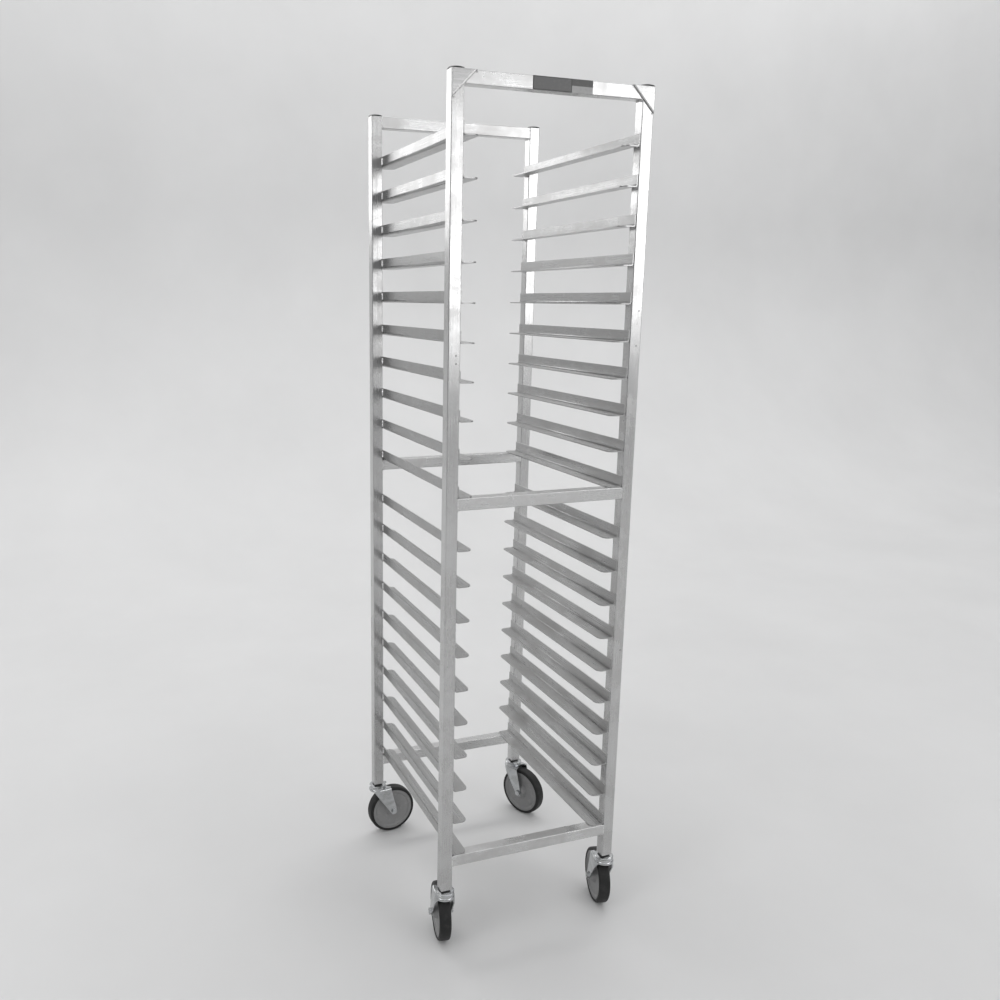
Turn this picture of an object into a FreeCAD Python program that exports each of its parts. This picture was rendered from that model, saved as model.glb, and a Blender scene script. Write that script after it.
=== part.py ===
"""Sheet pan rack: an all-welded aluminium frame with twenty levels of angle runners on four swivel casters.

Millimetres. +Z is up, +X is to the right seen from the loading end (the front), and +Y runs
from the front to the back. The origin lies on the floor, below the middle of the frame.
"""
import FreeCAD, Part
import math
import os

Vector = FreeCAD.Vector

# ---- frame ----
frame_width = 428.6
frame_depth = 514.4
upright_foot = 147.6
upright_length = 1676.4
tube_side = 25.4
tube_wall = 2.5
tube_corner = 1.6
gusset_leg = 50.8
gusset_thickness = 3.0

# ---- runners ----
level_count = 20
level_pitch = 76.2
lowest_ledge_underside = 228.7
levels_above_mid_bar = 10
mid_bar_step = 111.5
runner_height = 24.4
runner_ledge = 34.9
runner_thickness = 2.5
runner_bend = 3.5
runner_end_gap = 2.0
runner_tip_radius = 13.0

# ---- end caps ----
cap_edge = 1.8
cap_dome = 3.0
cap_inset = 0.4
cap_stub_depth = 16.0
cap_stub_play = 0.2

# ---- label plate ----
label_width = 127.0
label_height = 24.6
label_thickness = 0.8
label_shift = 12.7

# ---- casters ----
wheel_diameter = 127.0
tread_width = 27.0
tread_shoulder = 5.0
tread_crown = 0.4
tyre_depth = 8.0
rim_width = 24.0
rim_depth = 7.0
web_width = 18.0
hub_diameter = 30.0
hub_length = 40.0
caster_trail = 38.5
fork_width = 46.0
fork_plate = 2.5
fork_bend = 5.0
crown_top = 134.0
crown_thickness = 3.0
crown_reach = 31.0
skirt_bottom = 127.0
leg_tip_radius = 9.0
leg_front_start = -16.0
bolt_diameter = 7.94
bolt_head_width = 12.7
bolt_head_height = 4.4
nut_height = 4.8
bolt_tail = 0.6
bushing_diameter = 12.0
running_play = 0.06
stem_diameter = 11.1
stem_top = 201.0
ball_diameter = 5.0
ball_ring_radius = 13.5
ball_count = 14
race_outer_radius = 21.8
race_wall_inner = 17.6
race_gap = 1.4
upper_race_bottom = 139.6
upper_race_top = 143.4
race_lip = 1.2
rivet_head_radius = 9.0
rivet_head_depth = 5.0
rivet_gap = 0.3
collar_radius = 13.0
socket_closed_end = 4.0
end_play = 0.5
web_notch_edge = 22.0
web_notch_inset = 6.0

# Each caster's name, the corner that it stands at, and the heading of its trail from +X.
casters = (
    ("front_left", -1, -1, 79.0),
    ("front_right", 1, -1, 76.0),
    ("rear_left", -1, 1, 5.0),
    ("rear_right", 1, 1, 295.0),
)

# ---- worked out ----
half_width = frame_width / 2
half_depth = frame_depth / 2
upright_x = half_width - tube_side / 2
upright_y = half_depth - tube_side / 2
upright_top = upright_foot + upright_length
inner_half_width = half_width - tube_side
wheel_radius = wheel_diameter / 2
fork_half = fork_width / 2
fork_inner_half = fork_half - fork_plate


def save(shape, node):
    """Write one sub-part as a STEP file."""
    shape.exportStep(os.path.join("parts", node + ".step"))


def ledge_underside(level):
    """Height of a level's underside; level 1 is the top one."""
    height = lowest_ledge_underside + (level_count - level) * level_pitch
    if level <= levels_above_mid_bar:
        height += mid_bar_step - level_pitch
    return height


def polygon_face(points):
    """A face whose outline runs through the points and closes."""
    return Part.Face(Part.makePolygon(points + [points[0]]))


def rounded_square(side, corner, z):
    """A flat square face about the Z axis with rounded corners."""
    block = Part.makeBox(side, side, 1.0, Vector(-side / 2, -side / 2, z))
    upright_edges = [e for e in block.Edges if abs(e.Vertexes[0].Z - e.Vertexes[1].Z) > 0.5]
    block = block.makeFillet(corner, upright_edges)
    return next(f for f in block.Faces if abs(f.CenterOfMass.z - z) < 1e-6)


def square_tube(length):
    """A square tube that stands on the XY plane, centred on the Z axis."""
    outside = rounded_square(tube_side, tube_corner, 0.0).extrude(Vector(0, 0, length))
    inside_corner = max(tube_corner - tube_wall, 0.5)
    inside_side = tube_side - 2 * tube_wall
    inside = rounded_square(inside_side, inside_corner, 0.0).extrude(Vector(0, 0, length))
    # Face extrusion can run down from the face, so both are brought up to start at zero.
    for solid in (outside, inside):
        solid.translate(Vector(0, 0, -solid.BoundBox.ZMin))
    return outside.cut(inside)


# ---- welded frame ----

def upright(side_x, side_y):
    tube = square_tube(upright_length)
    tube.translate(Vector(side_x * upright_x, side_y * upright_y, upright_foot))
    return tube


def crossbar(side_y, top):
    """A tube between the two uprights of one end frame; top is the height of its upper face."""
    tube = square_tube(2 * inner_half_width)
    tube.rotate(Vector(0, 0, 0), Vector(0, 1, 0), 90)
    tube.translate(Vector(-inner_half_width, side_y * upright_y, top - tube_side / 2))
    return tube


def gusset(side_x, side_y):
    """A triangular plate on the outer face of one top corner, its long edge across the joint."""
    y = side_y * half_depth
    corner = Vector(side_x * half_width, y, upright_top)
    along = Vector(side_x * (half_width - gusset_leg), y, upright_top)
    down = Vector(side_x * half_width, y, upright_top - gusset_leg)
    return polygon_face([corner, along, down]).extrude(Vector(0, side_y * gusset_thickness, 0))


def runner_section():
    """The L section of a left-hand runner, with its outer heel at the origin, in the XZ plane."""
    outer_bend = runner_bend + runner_thickness
    middle = math.sqrt(0.5)
    h, w, t = runner_height, runner_ledge, runner_thickness

    def heel(radius):
        centre = Vector(outer_bend, 0, outer_bend)
        start = centre + Vector(-radius, 0, 0)
        through = centre + Vector(-radius * middle, 0, -radius * middle)
        return start, Part.Arc(start, through, centre + Vector(0, 0, -radius)).toShape()

    outer_start, outer_arc = heel(outer_bend)
    inner_start, inner_arc = heel(runner_bend)
    edges = [
        Part.makeLine(Vector(0, 0, h), outer_start),
        outer_arc,
        Part.makeLine(Vector(outer_bend, 0, 0), Vector(w, 0, 0)),
        Part.makeLine(Vector(w, 0, 0), Vector(w, 0, t)),
        Part.makeLine(Vector(w, 0, t), Vector(outer_bend, 0, t)),
        inner_arc,
        Part.makeLine(inner_start, Vector(t, 0, h)),
        Part.makeLine(Vector(t, 0, h), Vector(0, 0, h)),
    ]
    return Part.Face(Part.Wire(Part.__sortEdges__(edges)))


def left_runner():
    """A left-hand runner with its heel on the Y axis, its two ledge tips rounded in plan."""
    length = frame_depth - 2 * runner_end_gap
    bar = runner_section().extrude(Vector(0, length, 0))
    bar.translate(Vector(0, -length / 2, 0))
    tip_edges = [
        e for e in bar.Edges
        if abs(e.BoundBox.XMin - runner_ledge) < 1e-6 and e.BoundBox.YLength < 1e-6
    ]
    return bar.makeFillet(runner_tip_radius, tip_edges)


def runner_pair(level):
    left = left_runner()
    right = left.mirror(Vector(0, 0, 0), Vector(1, 0, 0))
    left.translate(Vector(-inner_half_width, 0, ledge_underside(level)))
    right.translate(Vector(inner_half_width, 0, ledge_underside(level)))
    return Part.makeCompound([left, right])


def end_cap(side_x, side_y):
    """A moulded plug with a low crowned head that closes the top of an upright."""
    head_side = tube_side - 2 * cap_inset
    head = Part.makeBox(head_side, head_side, cap_edge + cap_dome,
                        Vector(-head_side / 2, -head_side / 2, 0))
    dome_radius = (head_side ** 2 / 2 + cap_dome ** 2) / (2 * cap_dome)
    dome = Part.makeSphere(dome_radius, Vector(0, 0, cap_edge + cap_dome - dome_radius))
    head = head.common(dome)
    stub_side = tube_side - 2 * tube_wall - 2 * cap_stub_play
    stub = Part.makeBox(stub_side, stub_side, cap_stub_depth,
                        Vector(-stub_side / 2, -stub_side / 2, -cap_stub_depth))
    cap = head.fuse(stub)
    cap.translate(Vector(side_x * upright_x, side_y * upright_y, upright_top))
    return cap


def label_plate():
    """A thin blank nameplate on the front face of the top bar."""
    low = Vector(label_shift - label_width / 2, -half_depth - label_thickness,
                 upright_top - tube_side / 2 - label_height / 2)
    return Part.makeBox(label_width, label_thickness, label_height, low)


# ---- casters, each built with its stem on the Z axis and its trail along +X ----

def turned(points, axis=Vector(0, 0, 1)):
    """A solid of revolution about an axis through the origin."""
    return polygon_face(points).revolve(Vector(0, 0, 0), axis, 360)


def stem_socket():
    """Insert in the foot of an upright: a square plug with a round bore and a collar below it."""
    side = tube_side - 2 * tube_wall - 2 * cap_stub_play
    plug_top = stem_top + socket_closed_end
    plug = Part.makeBox(side, side, plug_top - upright_foot, Vector(-side / 2, -side / 2, upright_foot))
    collar = Part.makeCylinder(collar_radius, upright_foot - upper_race_top, Vector(0, 0, upper_race_top))
    bore = Part.makeCylinder(stem_diameter / 2 + running_play, stem_top + end_play - upper_race_top,
                             Vector(0, 0, upper_race_top))
    return plug.fuse(collar).cut(bore)


def stem():
    """Stem, fixed upper race and kingpin rivet, which stay still while the fork turns."""
    r = stem_diameter / 2
    rivet_top = crown_top - crown_thickness - rivet_gap
    rivet_bottom = rivet_top - rivet_head_depth
    rivet_chamfer = rivet_head_depth / 2
    stem_chamfer = 1.5
    lip_top = upper_race_bottom + race_lip
    outline = [
        Vector(0, 0, rivet_bottom),
        Vector(rivet_head_radius - rivet_chamfer, 0, rivet_bottom),
        Vector(rivet_head_radius, 0, rivet_bottom + rivet_chamfer),
        Vector(rivet_head_radius, 0, rivet_top),
        Vector(r, 0, rivet_top),
        Vector(r, 0, upper_race_bottom),
        Vector(race_outer_radius, 0, upper_race_bottom),
        Vector(race_outer_radius, 0, lip_top),
        Vector(race_outer_radius - 1.4, 0, lip_top + 1.2),
        Vector(collar_radius + 2.0, 0, upper_race_top),
        Vector(r, 0, upper_race_top),
        Vector(r, 0, stem_top - stem_chamfer),
        Vector(r - stem_chamfer, 0, stem_top),
        Vector(0, 0, stem_top),
    ]
    return turned(outline)


def bearing_balls():
    """The ring of balls between the crown of the fork and the fixed upper race."""
    balls = []
    for i in range(ball_count):
        angle = 2 * math.pi * i / ball_count
        centre = Vector(ball_ring_radius * math.cos(angle), ball_ring_radius * math.sin(angle),
                        crown_top + ball_diameter / 2)
        balls.append(Part.makeSphere(ball_diameter / 2, centre))
    return Part.makeCompound(balls)


def fork_section():
    """Half of the fork's pressed U section, in the YZ plane: the crown web and one leg."""
    low = wheel_radius - leg_tip_radius
    outer_bend = fork_bend
    inner_bend = fork_bend - fork_plate
    web_low = crown_top - crown_thickness
    middle = math.sqrt(0.5)
    outer_centre = Vector(0, fork_half - outer_bend, crown_top - outer_bend)
    inner_centre = Vector(0, fork_inner_half - inner_bend, web_low - inner_bend)

    def bend(centre, radius):
        return Part.Arc(centre + Vector(0, 0, radius),
                        centre + Vector(0, radius * middle, radius * middle),
                        centre + Vector(0, radius, 0)).toShape()

    outer = bend(outer_centre, outer_bend)
    inner = bend(inner_centre, inner_bend)
    edges = [
        Part.makeLine(Vector(0, 0, crown_top), outer_centre + Vector(0, 0, outer_bend)),
        outer,
        Part.makeLine(outer_centre + Vector(0, outer_bend, 0), Vector(0, fork_half, low)),
        Part.makeLine(Vector(0, fork_half, low), Vector(0, fork_inner_half, low)),
        Part.makeLine(Vector(0, fork_inner_half, low), inner_centre + Vector(0, inner_bend, 0)),
        inner,
        Part.makeLine(inner_centre + Vector(0, 0, inner_bend), Vector(0, 0, web_low)),
        Part.makeLine(Vector(0, 0, web_low), Vector(0, 0, crown_top)),
    ]
    return Part.Face(Part.Wire(Part.__sortEdges__(edges)))


def tangent_point(point, centre, radius, side):
    """Where the tangent from a point touches a circle, in the XZ plane; side is 1 or -1."""
    dx, dz = centre.x - point.x, centre.z - point.z
    distance = math.hypot(dx, dz)
    swing = math.asin(radius / distance)
    reach = math.sqrt(distance ** 2 - radius ** 2)
    heading = math.atan2(dz, dx) + side * swing
    return Vector(point.x + reach * math.cos(heading), 0, point.z + reach * math.sin(heading))


def fork_side_outline():
    """Side view of the fork: a crown that tapers down to a round tip about the axle."""
    axle = Vector(caster_trail, 0, wheel_radius)
    rear = Vector(crown_reach, 0, crown_top - fork_bend)
    front = Vector(leg_front_start, 0, skirt_bottom)
    rear_touch = tangent_point(rear, axle, leg_tip_radius, 1)
    front_touch = tangent_point(front, axle, leg_tip_radius, -1)
    tip = axle + Vector(0, 0, -leg_tip_radius)
    nose_low = Vector(-fork_half - 1, 0, skirt_bottom)
    nose_high = Vector(-fork_half - 1, 0, crown_top + 1)
    rear_high = Vector(crown_reach, 0, crown_top + 1)
    edges = [
        Part.makeLine(nose_low, nose_high),
        Part.makeLine(nose_high, rear_high),
        Part.makeLine(rear_high, rear),
        Part.makeLine(rear, rear_touch),
        Part.Arc(rear_touch, tip, front_touch).toShape(),
        Part.makeLine(front_touch, front),
        Part.makeLine(front, nose_low),
    ]
    face = Part.Face(Part.Wire(Part.__sortEdges__(edges)))
    face.translate(Vector(0, -fork_width, 0))
    return face.extrude(Vector(0, 2 * fork_width, 0))


def fork():
    """Pressed steel fork: round-fronted crown with a skirt, two tapered legs and a ball race wall."""
    half = fork_section()
    side = half.extrude(Vector(caster_trail + 2 * leg_tip_radius, 0, 0))
    other_side = side.mirror(Vector(0, 0, 0), Vector(0, 1, 0))
    front = half.revolve(Vector(0, 0, 0), Vector(0, 0, 1), 180)
    body = side.fuse(other_side).fuse(front).common(fork_side_outline())
    wall_outer = race_outer_radius - 0.6
    wall_root = crown_top - crown_thickness / 2
    wall_top = upper_race_bottom - race_gap
    race_wall = turned([
        Vector(race_wall_inner, 0, wall_root),
        Vector(wall_outer, 0, wall_root),
        Vector(wall_outer, 0, wall_top - 1.0),
        Vector(wall_outer - 1.0, 0, wall_top),
        Vector(race_wall_inner, 0, wall_top),
    ])
    kingpin_hole = Part.makeCylinder(stem_diameter / 2 + running_play, fork_width,
                                     Vector(0, 0, crown_top - fork_half))
    axle_hole = Part.makeCylinder(bolt_diameter / 2 + running_play, 2 * fork_width,
                                  Vector(caster_trail, -fork_width, wheel_radius), Vector(0, 1, 0))
    notch_radius = fork_inner_half - web_notch_inset
    web_notch = Part.makeCylinder(notch_radius, 4 * crown_thickness,
                                  Vector(web_notch_edge + notch_radius, 0, crown_top - 3 * crown_thickness))
    return body.fuse(race_wall).cut(kingpin_hole).cut(axle_hole).cut(web_notch).removeSplitter()


def hexagon(across_flats, height, centre):
    """A hexagonal prism that runs from centre along +Y."""
    radius = across_flats / math.sqrt(3)
    corners = []
    for i in range(6):
        angle = math.pi / 3 * i
        corners.append(centre + Vector(radius * math.cos(angle), 0, radius * math.sin(angle)))
    return polygon_face(corners).extrude(Vector(0, height, 0))


def axle_set():
    """The axle bolt, its nut, and the spacer bushing that the hub turns on."""
    centre = Vector(caster_trail, 0, wheel_radius)
    along = Vector(0, 1, 0)
    bolt_end = fork_half + nut_height + bolt_tail
    shank = Part.makeCylinder(bolt_diameter / 2, fork_half + bolt_end, centre - along * fork_half, along)
    head = hexagon(bolt_head_width, bolt_head_height, centre - along * (fork_half + bolt_head_height))
    nut = hexagon(bolt_head_width, nut_height, centre + along * fork_half)
    threaded_hole = Part.makeCylinder(bolt_diameter / 2, 2 * nut_height, centre + along * fork_half, along)
    bushing_start = centre - along * fork_inner_half
    bushing = Part.makeCylinder(bushing_diameter / 2, 2 * fork_inner_half, bushing_start, along)
    bushing_bore = Part.makeCylinder(bolt_diameter / 2 + running_play, 2 * fork_inner_half,
                                     bushing_start, along)
    return Part.makeCompound([shank.fuse(head), nut.cut(threaded_hole), bushing.cut(bushing_bore)])


def wheel_shape(points):
    """Turn an outline of (axial, radial) pairs about the caster's axle."""
    solid = turned([Vector(radial, axial, 0) for axial, radial in points], Vector(0, 1, 0))
    solid.translate(Vector(caster_trail, 0, wheel_radius))
    return solid


def wheel_core():
    """Moulded wheel: a hub, a recessed disc and a rim that the tyre sits on."""
    bore = bushing_diameter / 2 + running_play
    hub, rim = hub_diameter / 2, wheel_radius - tyre_depth
    half_hub, half_web, half_rim = hub_length / 2, web_width / 2, rim_width / 2
    slope = 2.0
    half_outline = [
        (half_hub, bore),
        (half_hub, hub - 3.0),
        (half_hub - 2.0, hub - 1.0),
        (half_web + slope, hub + slope),
        (half_web, hub + 2 * slope),
        (half_web, rim - rim_depth - 1.5 * slope),
        (half_rim - 1.0, rim - rim_depth),
        (half_rim, rim - rim_depth + 1.0),
        (half_rim, rim),
    ]
    other_half = [(-axial, radial) for axial, radial in reversed(half_outline)]
    return wheel_shape(half_outline + other_half)


def tyre():
    """Soft tread ring with round shoulders and a slight crown."""
    half = tread_width / 2
    inner = wheel_radius - tyre_depth
    shoulder_top = wheel_radius - tread_crown
    start = Vector(inner, -half, 0)
    middle = math.sqrt(0.5)

    def shoulder(side):
        centre = Vector(shoulder_top - tread_shoulder, side * (half - tread_shoulder), 0)
        return [
            centre + Vector(0, side * tread_shoulder, 0),
            centre + Vector(tread_shoulder * middle, side * tread_shoulder * middle, 0),
            centre + Vector(tread_shoulder, 0, 0),
        ]

    near, far = shoulder(-1), shoulder(1)
    end = Vector(inner, half, 0)
    edges = [
        Part.makeLine(start, near[0]),
        Part.Arc(*near).toShape(),
        Part.Arc(near[2], Vector(wheel_radius, 0, 0), far[2]).toShape(),
        Part.Arc(*reversed(far)).toShape(),
        Part.makeLine(far[0], end),
        Part.makeLine(end, start),
    ]
    face = Part.Face(Part.Wire(Part.__sortEdges__(edges)))
    ring = face.revolve(Vector(0, 0, 0), Vector(0, 1, 0), 360)
    ring.translate(Vector(caster_trail, 0, wheel_radius))
    return ring


def placed(shape, side_x, side_y, heading):
    """Move a caster's piece to its corner and turn it to its heading."""
    copy = shape.copy()
    copy.rotate(Vector(0, 0, 0), Vector(0, 0, 1), heading)
    copy.translate(Vector(side_x * upright_x, side_y * upright_y, 0))
    return copy


def main():
    os.makedirs("parts", exist_ok=True)
    corners = [(name, side_x, side_y) for name, side_x, side_y, heading in casters]
    for name, side_x, side_y in corners:
        save(upright(side_x, side_y), "upright_" + name)
    mid_bar_top = ledge_underside(levels_above_mid_bar)
    for end_name, side_y in (("front", -1), ("rear", 1)):
        save(crossbar(side_y, upright_top), "crossbar_" + end_name + "_top")
        save(crossbar(side_y, mid_bar_top), "crossbar_" + end_name + "_middle")
        save(crossbar(side_y, ledge_underside(level_count)), "crossbar_" + end_name + "_bottom")
    for level in range(1, level_count + 1):
        save(runner_pair(level), "runner_pair_%02d" % level)
    save(Part.makeCompound([gusset(x, y) for name, x, y in corners]), "corner_gussets")
    save(Part.makeCompound([end_cap(x, y) for name, x, y in corners]), "end_caps")
    save(label_plate(), "label_plate")
    sockets = [placed(stem_socket(), x, y, 0) for name, x, y in corners]
    save(Part.makeCompound(sockets), "stem_sockets")
    pieces = (
        ("stem", stem()),
        ("balls", bearing_balls()),
        ("fork", fork()),
        ("axle", axle_set()),
        ("wheel", wheel_core()),
        ("tyre", tyre()),
    )
    for name, side_x, side_y, heading in casters:
        for piece, shape in pieces:
            save(placed(shape, side_x, side_y, heading), "caster_" + name + "_" + piece)


main()
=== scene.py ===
"""Looks of the sheet pan rack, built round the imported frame: finishes, weld beads, studio, camera.

Metres. +Z is up, +X is to the right seen from the loading end, and +Y runs from the front to the
rear.
"""
import math
import random

import bpy
from mathutils import Matrix, Quaternion, Vector


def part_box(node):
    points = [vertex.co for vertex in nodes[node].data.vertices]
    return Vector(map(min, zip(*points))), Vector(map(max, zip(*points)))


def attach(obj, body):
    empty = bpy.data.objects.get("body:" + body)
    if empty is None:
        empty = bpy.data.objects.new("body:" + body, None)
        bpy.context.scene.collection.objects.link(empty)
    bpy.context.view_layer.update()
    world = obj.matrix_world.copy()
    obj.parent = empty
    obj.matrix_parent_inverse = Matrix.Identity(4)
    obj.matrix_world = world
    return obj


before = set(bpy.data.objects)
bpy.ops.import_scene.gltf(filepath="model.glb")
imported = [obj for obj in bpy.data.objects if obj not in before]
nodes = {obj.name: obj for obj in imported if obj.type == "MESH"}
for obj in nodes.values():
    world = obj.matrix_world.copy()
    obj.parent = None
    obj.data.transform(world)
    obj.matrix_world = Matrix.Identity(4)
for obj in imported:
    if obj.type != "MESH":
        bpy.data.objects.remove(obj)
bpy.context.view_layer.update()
random.seed(20)

MM = 0.001
ROOT = "rack_frame"

# Each corner's name, and its side along X and Y.
CORNERS = (
    ("front_left", -1, -1),
    ("front_right", 1, -1),
    ("rear_left", -1, 1),
    ("rear_right", 1, 1),
)

# Levels are counted from the top; the runners of some stand right above a crossbar.
LEVELS = 20
LEVELS_ON_BARS = (10, 20)

# Painted shade standing in for small dents on the front faces of the two front uprights: dark spots
# at (x, z), with the radius of a spot's dark middle and the radius at which it has faded out.
DENT_SHADE_SPOTS = (
    (-0.1978, 1.3085),
    (-0.1976, 1.2932),
    (0.2065, 1.3941),
    (0.2040, 1.3232),
    (0.2065, 0.6559),
)
DENT_SHADE_MIDDLE = 1.1 * MM
DENT_SHADE_EDGE = 2.6 * MM

# Patterns on drawn aluminium, in cycles per metre: (across the draw, along it), or one for both.
DRAW_LINES = (900.0, 6.0)
DRAW_BANDS = (130.0, 1.6)
SCRATCHES = (700.0, 22.0)
CLOUDS = 14.0
SPECKS = 420.0

# The gussets' long edge is ground down over this band, measured in from the edge.
GROUND_FROM = 5.0 * MM
GROUND_TO = 0.4 * MM

# Weld beads: the spacing of their ripples, then the mesh's rings along a bead and steps round it.
RIPPLE_PITCH = 1.9 * MM
RING_SPACING = 0.42 * MM
FEWEST_RINGS = 10
RING_STEPS = 9
BEAD_CREASE = math.radians(50)

# Shares of a bead's size: what is left of it at its ends, the ripples' depth and the root's depth.
END_SHARE = 0.30
RIPPLE_DEPTH = 0.13
ROOT_DEPTH = 0.3

# Breaks of the sharp edges.
RUNNER_BREAK = 0.45 * MM
GUSSET_BREAK = 1.4 * MM
SHARP_FROM = math.radians(40)


# ---------------------------------------------------------------- material helpers

class Look:
    """A procedural material being built; every pattern runs in the piece's own coordinates."""

    def __init__(self, name):
        self.material = bpy.data.materials.new(name)
        self.material.use_nodes = True
        self.tree = self.material.node_tree
        self.shader = self.tree.nodes["Principled BSDF"]
        self.place = self.node("ShaderNodeTexCoord").outputs["Object"]
        self.normal = None

    def node(self, kind, **settings):
        made = self.tree.nodes.new(kind)
        for key, value in settings.items():
            setattr(made, key, value)
        return made

    def feed(self, socket, value):
        """Set a socket to a plain value, or link it when the value is another socket."""
        if isinstance(value, bpy.types.NodeSocket):
            self.tree.links.new(value, socket)
        else:
            socket.default_value = value

    def stretched(self, scale, turn):
        """The piece's coordinates, turned and then scaled."""
        mapping = self.node("ShaderNodeMapping")
        self.feed(mapping.inputs["Vector"], self.place)
        mapping.inputs["Scale"].default_value = scale
        mapping.inputs["Rotation"].default_value = turn
        return mapping.outputs["Vector"]

    def noise(self, scale, detail=3.0, roughness=0.5, turn=(0.0, 0.0, 0.0), distortion=0.0):
        """Noise from nought to one; the scale is one number, or one for each axis."""
        if isinstance(scale, float):
            scale = (scale, scale, scale)
        made = self.node("ShaderNodeTexNoise")
        self.feed(made.inputs["Vector"], self.stretched(scale, turn))
        made.inputs["Scale"].default_value = 1.0
        made.inputs["Detail"].default_value = detail
        made.inputs["Roughness"].default_value = roughness
        made.inputs["Distortion"].default_value = distortion
        return made.outputs["Fac"]

    def remap(self, value, low, high, to_low, to_high, smooth=False):
        """Carry a value from one range to another, held at the ends."""
        made = self.node("ShaderNodeMapRange")
        if smooth:
            made.interpolation_type = "SMOOTHSTEP"
        self.feed(made.inputs["Value"], value)
        made.inputs["From Min"].default_value = low
        made.inputs["From Max"].default_value = high
        made.inputs["To Min"].default_value = to_low
        made.inputs["To Max"].default_value = to_high
        return made.outputs["Result"]

    def math(self, operation, a, b=0.0):
        made = self.node("ShaderNodeMath", operation=operation)
        self.feed(made.inputs[0], a)
        self.feed(made.inputs[1], b)
        return made.outputs["Value"]

    def mix(self, share, a, b):
        """Colour a, giving way to colour b as the share rises."""
        made = self.node("ShaderNodeMix", data_type="RGBA")
        self.feed(made.inputs[0], share)
        self.feed(made.inputs[6], a)
        self.feed(made.inputs[7], b)
        return made.outputs[2]

    def xyz(self):
        parts = self.node("ShaderNodeSeparateXYZ")
        self.feed(parts.inputs[0], self.place)
        return parts.outputs["X"], parts.outputs["Y"], parts.outputs["Z"]

    def near(self, point, full, gone):
        """One close to a point, falling to nothing further out."""
        made = self.node("ShaderNodeVectorMath", operation="DISTANCE")
        self.feed(made.inputs[0], self.place)
        made.inputs[1].default_value = point
        return self.remap(made.outputs["Value"], full, gone, 1.0, 0.0, smooth=True)

    def bump(self, height, strength, distance):
        """Add relief on top of any that is already there; the distance is its full height."""
        made = self.node("ShaderNodeBump")
        self.feed(made.inputs["Height"], height)
        made.inputs["Strength"].default_value = strength
        made.inputs["Distance"].default_value = distance
        if self.normal is not None:
            self.feed(made.inputs["Normal"], self.normal)
        self.normal = made.outputs["Normal"]

    def set(self, name, value):
        self.feed(self.shader.inputs[name], value)

    def done(self):
        if self.normal is not None:
            self.set("Normal", self.normal)
        return self.material


def grey(level, warmth=0.0):
    return (level * (1 + warmth), level, level * (1 - warmth), 1.0)


def along(axis, scales):
    """A pattern's scale for each axis, from its scales (across the axis, along it)."""
    across, down = scales
    return tuple(down if i == axis else across for i in range(3))


# ---------------------------------------------------------------- materials

def aluminium(name, axis, tone, smoothness, draw_depth=0.16, cloudiness=1.0, shade_spots=(),
              ground_edge=False):
    """Mill-finish aluminium: draw lines along an axis, cloudy handling smudges, scratches, and dark
    spots of painted shade for dents.
    """
    look = Look(name)
    lines = look.noise(along(axis, DRAW_LINES), detail=4.0, roughness=0.6)
    bands = look.noise(along(axis, DRAW_BANDS), detail=3.0, roughness=0.55)
    clouds = look.noise(CLOUDS, detail=5.0, roughness=0.62, distortion=0.6)
    specks = look.noise(SPECKS, detail=2.0, roughness=0.5)
    tilt = tuple(0.35 if i == (axis + 1) % 3 else 0.12 for i in range(3))
    scratch = look.noise(along(axis, SCRATCHES), detail=1.0, roughness=0.4, turn=tilt)
    scratches = look.remap(scratch, 0.735, 0.765, 0.0, 1.0)
    dull = look.remap(clouds, 0.38, 0.68, 0.0, 1.0, smooth=True)

    tint = look.mix(dull, grey(tone), grey(tone * (1 - 0.14 * cloudiness), 0.006))
    tint = look.mix(look.remap(bands, 0.35, 0.7, 0.0, 0.35), tint, grey(tone * 0.84))
    tint = look.mix(look.remap(specks, 0.66, 0.74, 0.0, 0.3), tint, grey(tone * 0.6))
    # Each dent is painted as a dark spot: painted shade, with no relief in the surface.
    for x, z in shade_spots:
        shade_spot = look.near((x, frame_front, z), DENT_SHADE_MIDDLE, DENT_SHADE_EDGE)
        tint = look.mix(look.math("MULTIPLY", shade_spot, 0.75), tint, grey(tone * 0.25))
    look.set("Base Color", tint)
    look.set("Metallic", 1.0)

    rough = look.math(
        "ADD",
        look.remap(lines, 0.3, 0.7, smoothness - 0.03, smoothness + 0.07),
        look.remap(dull, 0.0, 1.0, 0.0, 0.10 * cloudiness),
    )
    look.set("Roughness", look.math("ADD", rough, look.math("MULTIPLY", scratches, 0.12)))
    look.bump(lines, draw_depth, 0.12 * MM)
    look.bump(bands, 0.10, 0.8 * MM)
    look.bump(scratches, 0.12, 0.15 * MM)
    if ground_edge:
        look.bump(gusset_flat(look), 1.0, 0.8 * MM)
    return look.done()


def gusset_flat(look):
    """One over a gusset's flat, falling to nothing at its long edge, where it is ground down."""
    low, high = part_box("corner_gussets")
    leg = high.z - low.z
    x, _, z = look.xyz()
    inward = look.math("SUBTRACT", high.x, look.math("ABSOLUTE", x))
    down = look.math("SUBTRACT", high.z, z)
    from_corner = look.math("ADD", inward, down)
    return look.remap(from_corner, leg - GROUND_FROM, leg - GROUND_TO, 1.0, 0.0)


def weld_metal():
    """Bright weld metal with a little soot."""
    look = Look("weld_metal")
    soot = look.noise(260.0, detail=4.0, roughness=0.6)
    sooty = look.remap(soot, 0.42, 0.66, 0.0, 1.0)
    look.set("Base Color", look.mix(sooty, grey(0.86), grey(0.52, 0.01)))
    look.set("Metallic", 1.0)
    look.set("Roughness", look.remap(soot, 0.3, 0.7, 0.2, 0.42))
    look.bump(soot, 0.25, 0.3 * MM)
    return look.done()


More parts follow.
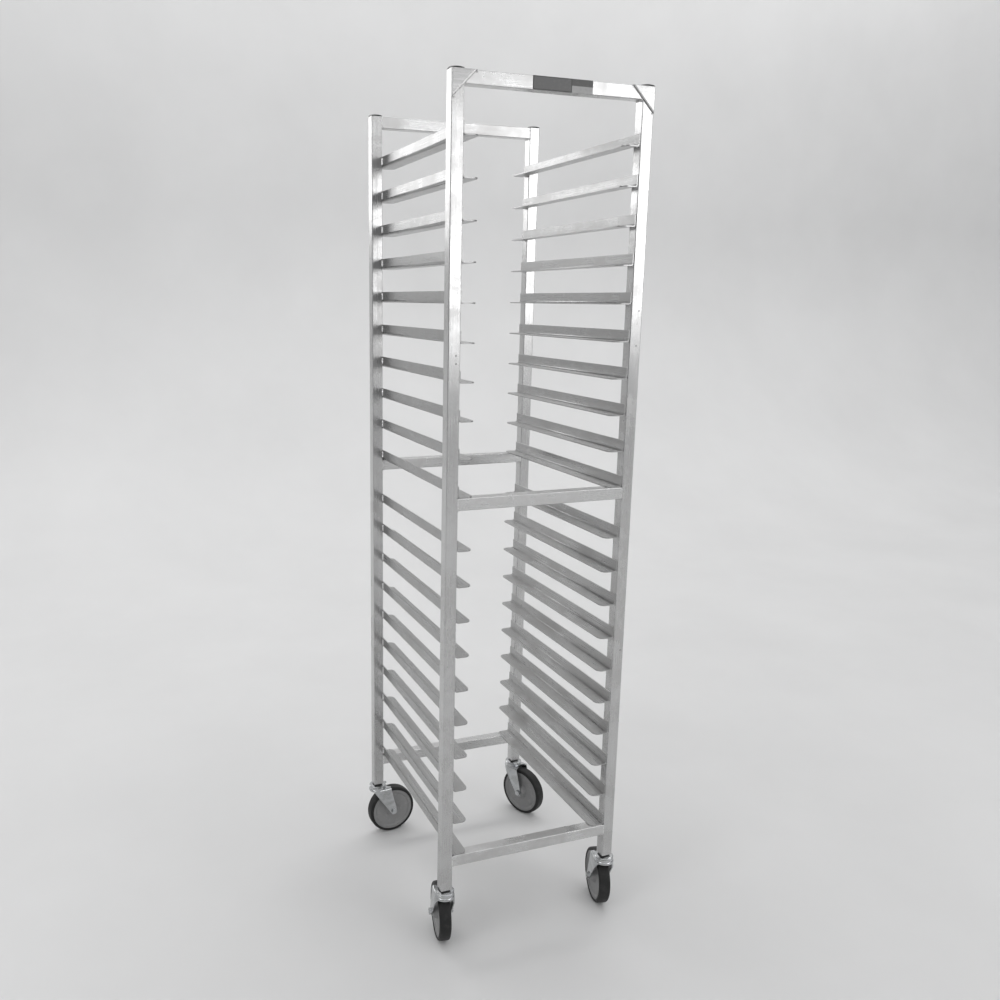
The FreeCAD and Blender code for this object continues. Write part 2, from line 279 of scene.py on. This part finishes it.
def zinc_plate():
    """Bright zinc plating over pressed steel, a little cloudy and bluish."""
    look = Look("bright_zinc")
    flow = look.noise(45.0, detail=5.0, roughness=0.6, distortion=0.8)
    grain = look.noise(900.0, detail=2.0)
    press = look.noise((60.0, 60.0, 420.0), detail=3.0, roughness=0.5)
    cloudy = look.remap(flow, 0.35, 0.7, 0.0, 1.0)
    look.set("Base Color", look.mix(cloudy, (0.58, 0.59, 0.61, 1.0), (0.40, 0.41, 0.40, 1.0)))
    look.set("Metallic", 1.0)
    look.set("Roughness", look.math(
        "ADD",
        look.remap(flow, 0.3, 0.7, 0.11, 0.24),
        look.remap(grain, 0.4, 0.7, 0.0, 0.06),
    ))
    look.bump(grain, 0.10, 0.1 * MM)
    look.bump(press, 0.08, 0.5 * MM)
    return look.done()


def polished_steel():
    look = Look("polished_steel")
    smear = look.noise(300.0, detail=3.0)
    look.set("Base Color", grey(0.78))
    look.set("Metallic", 1.0)
    look.set("Roughness", look.remap(smear, 0.3, 0.7, 0.06, 0.16))
    return look.done()


def moulded(name, tone, worn_tone, smooth, rough, grain_scale=1400.0, grain_depth=0.1 * MM,
            shine=0.45):
    """Moulded plastic or rubber with a fine surface grain and faint scuffs."""
    look = Look(name)
    scuffs = look.noise(55.0, detail=6.0, roughness=0.7, distortion=0.4)
    grain = look.noise(grain_scale, detail=2.0)
    worn = look.remap(scuffs, 0.45, 0.8, 0.0, 1.0, smooth=True)
    look.set("Base Color", look.mix(worn, grey(tone), grey(worn_tone, 0.01)))
    look.set("Roughness", look.remap(scuffs, 0.3, 0.7, smooth, rough))
    look.set("Specular IOR Level", shine)
    look.bump(grain, 0.22, grain_depth)
    look.bump(scuffs, 0.06, 0.6 * MM)
    return look.done()


def nameplate():
    """Dark foil: a bordered dark panel on the left, a panel in two greys on the right, no text."""
    look = Look("nameplate_foil")
    low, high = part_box("label_plate")
    split = low.x + 0.645 * (high.x - low.x)
    middle = (low.z + high.z) / 2
    border = 1.6 * MM
    x, _, z = look.xyz()
    inside = look.math("GREATER_THAN", x, low.x + border)
    for test, value, limit in (
        ("LESS_THAN", x, split - border),
        ("GREATER_THAN", z, low.z + border),
        ("LESS_THAN", z, high.z - border),
    ):
        inside = look.math("MULTIPLY", inside, look.math(test, value, limit))
    right = look.math("GREATER_THAN", x, split)
    lower_right = look.math("MULTIPLY", right, look.math("LESS_THAN", z, middle))
    fibre = look.noise(160.0, detail=4.0, roughness=0.6)
    tint = look.mix(inside, grey(0.05), grey(0.115))
    tint = look.mix(right, tint, grey(0.085))
    tint = look.mix(lower_right, tint, grey(0.30))
    tint = look.mix(look.remap(fibre, 0.5, 0.8, 0.0, 0.35), tint, grey(0.2))
    look.set("Base Color", tint)
    look.set("Metallic", 0.35)
    look.set("Roughness", look.remap(fibre, 0.3, 0.7, 0.3, 0.48))
    look.bump(fibre, 0.05, 0.3 * MM)
    return look.done()


def paint(piece, material, slot):
    piece.data.materials.clear()
    piece.data.materials.append(material)
    for face in piece.data.polygons:
        face.material_index = 0


# ---------------------------------------------------------------- finishes of the CAD nodes

frame_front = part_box("upright_front_left")[0].y
weld = weld_metal()
zinc = zinc_plate()

# The material and the record's slot for each kind of CAD node, by the first or last word of its
# name, or by the whole name.
FIRST_WORDS = {
    "upright": (
        aluminium("aluminium_uprights", 2, 0.57, 0.19, shade_spots=DENT_SHADE_SPOTS),
        "frame_aluminium",
    ),
    "crossbar": (
        aluminium("aluminium_crossbars", 0, 0.64, 0.24, draw_depth=0.8),
        "frame_aluminium",
    ),
    "runner": (
        aluminium("aluminium_runners", 1, 0.41, 0.26, draw_depth=0.3, cloudiness=0.5),
        "runner_aluminium",
    ),
}
WHOLE_NAMES = {
    "corner_gussets": (
        aluminium("aluminium_gussets", 0, 0.50, 0.18, ground_edge=True),
        "frame_aluminium",
    ),
    "end_caps": (moulded("cap_plastic", 0.018, 0.04, 0.32, 0.5), "cap_plastic"),
    "label_plate": (nameplate(), "label_plate"),
    "stem_sockets": (moulded("socket_plastic", 0.018, 0.035, 0.4, 0.55), "socket_plastic"),
}
LAST_WORDS = {
    "stem": (zinc, "zinc_steel"),
    "fork": (zinc, "zinc_steel"),
    "axle": (zinc, "zinc_steel"),
    "balls": (polished_steel(), "ball_steel"),
    "wheel": (moulded("grey_wheel_plastic", 0.24, 0.30, 0.38, 0.55), "wheel_core_plastic"),
    "tyre": (
        moulded("tyre_rubber", 0.014, 0.036, 0.42, 0.62, 900.0, 0.2 * MM, shine=0.28),
        "tyre_rubber",
    ),
}


def finish_of(name):
    """The material and the record's slot for a CAD node."""
    words = name.split("_")
    return FIRST_WORDS.get(words[0]) or WHOLE_NAMES.get(name) or LAST_WORDS[words[-1]]


def soften(piece, width, segments=2):
    """Break the sharp edges of a CAD mesh, so that they catch light as real edges do."""
    join = piece.modifiers.new("join_points", "WELD")
    join.merge_threshold = 0.005 * MM
    bevel = piece.modifiers.new("soft_edges", "BEVEL")
    bevel.width = width
    bevel.segments = segments
    bevel.limit_method = "ANGLE"
    bevel.angle_limit = SHARP_FROM
    bevel.harden_normals = True


for name, piece in nodes.items():
    paint(piece, *finish_of(name))
    if name.startswith("runner"):
        soften(piece, RUNNER_BREAK)
    elif name == "corner_gussets":
        soften(piece, GUSSET_BREAK, segments=4)


# ---------------------------------------------------------------- weld beads

class Beads:
    """Collects weld beads, each a closed rippled skin, into one mesh."""

    def __init__(self):
        self.points, self.faces = [], []

    def add(self, start, end, side_a, side_b, size, spread=(-8.0, 98.0), fullness=1.35):
        """A bead along a seam. Its skin runs round the seam from side_a to side_b, over the spread
        in degrees. Fullness 1 is flat across and 2 is round. The root is sunk in the metal."""
        start, end = Vector(start), Vector(end)
        side_a, side_b = Vector(side_a), Vector(side_b)
        length = (end - start).length
        direction = (end - start) / length
        middle = math.radians(sum(spread) / 2)
        root = -ROOT_DEPTH * size * (side_a * math.cos(middle) + side_b * math.sin(middle))
        ripple = RIPPLE_PITCH * random.uniform(0.9, 1.1)
        phase = random.uniform(0.0, 1.0)
        wander = [random.uniform(-1, 1) for i in range(6)]
        steps = max(FEWEST_RINGS, int(length / RING_SPACING))
        first = len(self.points)
        for i in range(steps + 1):
            t = i / steps
            seam = start + direction * (t * length)
            from_end = min(1.0, min(t, 1 - t) * length / (0.8 * size))
            rounded = math.sqrt(max(0.0, 1 - (1 - from_end) ** 2))
            body = END_SHARE + (1 - END_SHARE) * rounded
            sway = sum(w * math.sin((k + 1) * 2.3 * t * math.pi + k)
                       for k, w in enumerate(wander)) / 24
            for j in range(RING_STEPS + 1):
                angle = math.radians(spread[0] + (spread[1] - spread[0]) * j / RING_STEPS)
                c, s = math.cos(angle), math.sin(angle)
                shape = (abs(c) ** fullness + abs(s) ** fullness) ** (-1 / fullness)
                bow = 0.5 * math.sin(math.pi * j / RING_STEPS)
                saw = (t * length / ripple + phase + bow) % 1.0
                r = size * body * shape * (1.0 - RIPPLE_DEPTH * saw ** 1.6) * (1 + sway)
                self.points.append(seam + side_a * (c * r) + side_b * (s * r))
            self.points.append(seam + root * body)

        ring = RING_STEPS + 2
        last = first + steps * ring
        skin = []
        for i in range(steps):
            for j in range(ring):
                a, b = first + i * ring + j, first + i * ring + (j + 1) % ring
                skin.append((a, b, b + ring, a + ring))
        skin.append(tuple(first + j for j in reversed(range(ring))))
        skin.append(tuple(last + j for j in range(ring)))
        if side_a.cross(side_b).dot(direction) < 0:
            skin = [face[::-1] for face in skin]
        self.faces += skin

    def make(self, name):
        mesh = bpy.data.meshes.new(name)
        mesh.from_pydata([tuple(p) for p in self.points], [], self.faces)
        mesh.validate()
        for face in mesh.polygons:
            face.use_smooth = True
        mesh.set_sharp_from_angle(angle=BEAD_CREASE)
        piece = bpy.data.objects.new(name, mesh)
        bpy.context.scene.collection.objects.link(piece)
        paint(piece, weld, "frame_aluminium")
        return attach(piece, ROOT)


def runner_welds(corner, sx, sy):
    """A short upright bead where each runner's outer face leaves the upright, and a tack under its
    heel wherever there is no crossbar."""
    post_low, post_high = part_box("upright_" + corner)
    inner_x = post_high.x if sx < 0 else post_low.x
    inboard_y = post_high.y if sy < 0 else post_low.y
    outboard_y = post_low.y if sy < 0 else post_high.y
    beads = Beads()
    for level in range(1, LEVELS + 1):
        low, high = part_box("runner_pair_%02d" % level)
        z0 = low.z + random.uniform(5.6, 6.6) * MM
        z1 = high.z - random.uniform(1.2, 3.4) * MM
        beads.add((inner_x, inboard_y, z0), (inner_x, inboard_y, z1), (sx, 0, 0), (0, -sy, 0),
                  random.uniform(2.3, 2.9) * MM)
        if level not in LEVELS_ON_BARS:
            y0 = outboard_y - sy * random.uniform(3.0, 4.0) * MM
            y1 = y0 - sy * random.uniform(9.0, 12.0) * MM
            z = low.z + 1.6 * MM
            beads.add((inner_x, y0, z), (inner_x, y1, z), (-sx, 0, 0), (0, 0, -1),
                      random.uniform(2.0, 2.6) * MM)
    beads.make("weld_beads_runners_" + corner)


def crossbar_welds(node):
    """Beads under, before and behind both ends of a crossbar."""
    low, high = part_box(node)
    under = (2.6 if node.endswith("top") else 3.0) * MM
    y0, y1 = low.y + 1.5 * MM, high.y - 1.5 * MM
    z0, z1 = low.z + 1.2 * MM, high.z - 1.2 * MM
    beads = Beads()
    for sx, x in ((-1, low.x), (1, high.x)):
        beads.add((x, y0, low.z), (x, y1, low.z), (-sx, 0, 0), (0, 0, -1), under)
        for sy, y in ((-1, low.y), (1, high.y)):
            sunk_y = y - sy * 0.9 * MM
            beads.add((x, sunk_y, z0), (x, sunk_y, z1), (sx, 0, 0), (0, sy, 0), 1.7 * MM,
                      spread=(0.0, 180.0), fullness=1.9)
    beads.make("weld_beads_" + node)


def gusset_welds():
    """A short tack past both tips of each gusset's long edge."""
    low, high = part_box("corner_gussets")
    leg = high.z - low.z
    beads = Beads()
    for corner, sx, sy in CORNERS:
        post_low, post_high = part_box("upright_" + corner)
        face_y = post_low.y if sy < 0 else post_high.y
        outer_x = post_low.x if sx < 0 else post_high.x
        inner = -sx
        low_tip = Vector((outer_x + inner * 1.6 * MM, face_y, low.z + 1.2 * MM))
        beads.add(low_tip, low_tip + Vector((inner * 4.2 * MM, 0, 0)),
                  (0, 0, -1), (0, sy, 0), 2.4 * MM)
        top_tip = Vector((outer_x + inner * (leg - 1.2 * MM), face_y, high.z - 5.6 * MM))
        beads.add(top_tip, top_tip + Vector((0, 0, 3.6 * MM)),
                  (inner, 0, 0), (0, sy, 0), 2.2 * MM)
    beads.make("weld_beads_gussets")


for corner, sx, sy in CORNERS:
    runner_welds(corner, sx, sy)
for end in ("front", "rear"):
    for place in ("top", "middle", "bottom"):
        crossbar_welds("crossbar_%s_%s" % (end, place))
gusset_welds()


# ---------------------------------------------------------------- studio

def studio_floor():
    """A pale floor that sweeps up into a backdrop behind the rack."""
    half_width = near = 60.0
    backdrop_y, backdrop_top = 4.2, 7.0
    bend_radius, bend_steps = 2.0, 16
    bend_start = backdrop_y - bend_radius
    profile = [(-near, 0.0), (bend_start, 0.0)]
    for i in range(1, bend_steps + 1):
        angle = math.pi / 2 * i / bend_steps
        profile.append((bend_start + bend_radius * math.sin(angle),
                        bend_radius * (1 - math.cos(angle))))
    profile.append((backdrop_y, backdrop_top))
    points, faces = [], []
    for y, z in profile:
        points += [(-half_width, y, z), (half_width, y, z)]
    for i in range(len(profile) - 1):
        faces.append((2 * i, 2 * i + 1, 2 * i + 3, 2 * i + 2))
    mesh = bpy.data.meshes.new("studio_floor")
    mesh.from_pydata(points, [], faces)
    for face in mesh.polygons:
        face.use_smooth = True
    floor = bpy.data.objects.new("studio_floor", mesh)
    bpy.context.scene.collection.objects.link(floor)
    look = Look("studio_paint")
    patches = look.noise(1.3, detail=4.0, roughness=0.6)
    patchy = look.remap(patches, 0.3, 0.7, 0.0, 1.0)
    look.set("Base Color", look.mix(patchy, grey(0.67), grey(0.63)))
    look.set("Roughness", 0.62)
    floor.data.materials.append(look.done())


def softbox(name, place, target, size, power, roll=0.0):
    """A rectangular light panel that faces a target, with its power in watts and its roll in
    degrees. It shows in reflections but not to the camera."""
    light = bpy.data.lights.new(name, "AREA")
    light.shape = "RECTANGLE"
    light.size, light.size_y = size
    light.energy = power
    panel = bpy.data.objects.new(name, light)
    panel.location = place
    facing = (Vector(target) - Vector(place)).to_track_quat("-Z", "Y")
    turned = facing @ Quaternion((0.0, 0.0, 1.0), math.radians(roll))
    panel.rotation_euler = turned.to_euler()
    panel.visible_camera = False
    bpy.context.scene.collection.objects.link(panel)


def studio_lights():
    # The key's reflection whitens the upper half of every front face, and its rolled top edge sets
    # where that ends. The one behind on the left does the same for the faces to the left.
    softbox("key", (2.9, -4.9, 2.1), (0.0, 0.0, 1.6), (3.4, 1.7), 52.0, roll=9.0)
    softbox("rear_side", (-1.95, 3.9, 2.6), (-1.95, 0.0, 2.6), (2.3, 1.5), 22.0)
    softbox("side", (-3.9, -1.6, 3.2), (0.0, 0.0, 1.0), (1.6, 1.6), 26.0)
    # An even ceiling of light, and a wash down the backdrop.
    softbox("top", (0.0, -3.0, 9.0), (0.0, -3.0, 0.0), (36.0, 36.0), 2700.0)
    softbox("backdrop_wash", (2.2, 2.2, 6.0), (2.2, 4.2, 2.8), (10.0, 1.2), 150.0)


def studio_air():
    """A dim, even sky that is a little brighter at the horizon."""
    world = bpy.data.worlds.new("studio_air")
    bpy.context.scene.world = world
    world.use_nodes = True
    air = world.node_tree
    background = air.nodes["Background"]
    direction = air.nodes.new("ShaderNodeSeparateXYZ")
    place = air.nodes.new("ShaderNodeTexCoord")
    air.links.new(place.outputs["Generated"], direction.inputs[0])
    fade = air.nodes.new("ShaderNodeMapRange")
    fade.interpolation_type = "SMOOTHSTEP"
    air.links.new(direction.outputs["Z"], fade.inputs["Value"])
    fade.inputs["From Min"].default_value = 0.02
    fade.inputs["From Max"].default_value = 0.50
    fade.inputs["To Min"].default_value = 0.42
    fade.inputs["To Max"].default_value = 0.20
    background.inputs["Color"].default_value = (0.97, 0.98, 1.0, 1.0)
    air.links.new(fade.outputs["Result"], background.inputs["Strength"])


studio_floor()
studio_lights()
studio_air()
bpy.context.scene.view_settings.view_transform = "Standard"


# ---------------------------------------------------------------- camera

def photo_camera():
    """The camera fitted to the photograph: its place, its heading in radians, and its focal length
    and the picture's centre as shares of the picture's width."""
    eye = Vector((-0.88679, -1.93611, 1.41380))
    yaw, pitch, roll = 0.35022, -0.21732, 0.00618
    focal, centre_x, centre_y = 0.930442, 0.418201, 0.505271

    camera = bpy.data.cameras.new("camera")
    camera.sensor_width = 36.0
    camera.lens = focal * camera.sensor_width
    camera.shift_x = 0.5 - centre_x
    camera.shift_y = centre_y - 0.5
    camera.clip_start, camera.clip_end = 0.05, 200.0

    ahead = Vector((math.sin(yaw) * math.cos(pitch), math.cos(yaw) * math.cos(pitch),
                    math.sin(pitch)))
    level_right = Vector((math.cos(yaw), -math.sin(yaw), 0.0))
    level_up = level_right.cross(ahead)
    right = level_right * math.cos(roll) + level_up * math.sin(roll)
    up = level_up * math.cos(roll) - level_right * math.sin(roll)
    holder = bpy.data.objects.new("camera", camera)
    holder.matrix_world = Matrix((
        (right.x, up.x, -ahead.x, eye.x),
        (right.y, up.y, -ahead.y, eye.y),
        (right.z, up.z, -ahead.z, eye.z),
        (0.0, 0.0, 0.0, 1.0),
    ))
    bpy.context.scene.collection.objects.link(holder)
    bpy.context.scene.camera = holder


photo_camera()
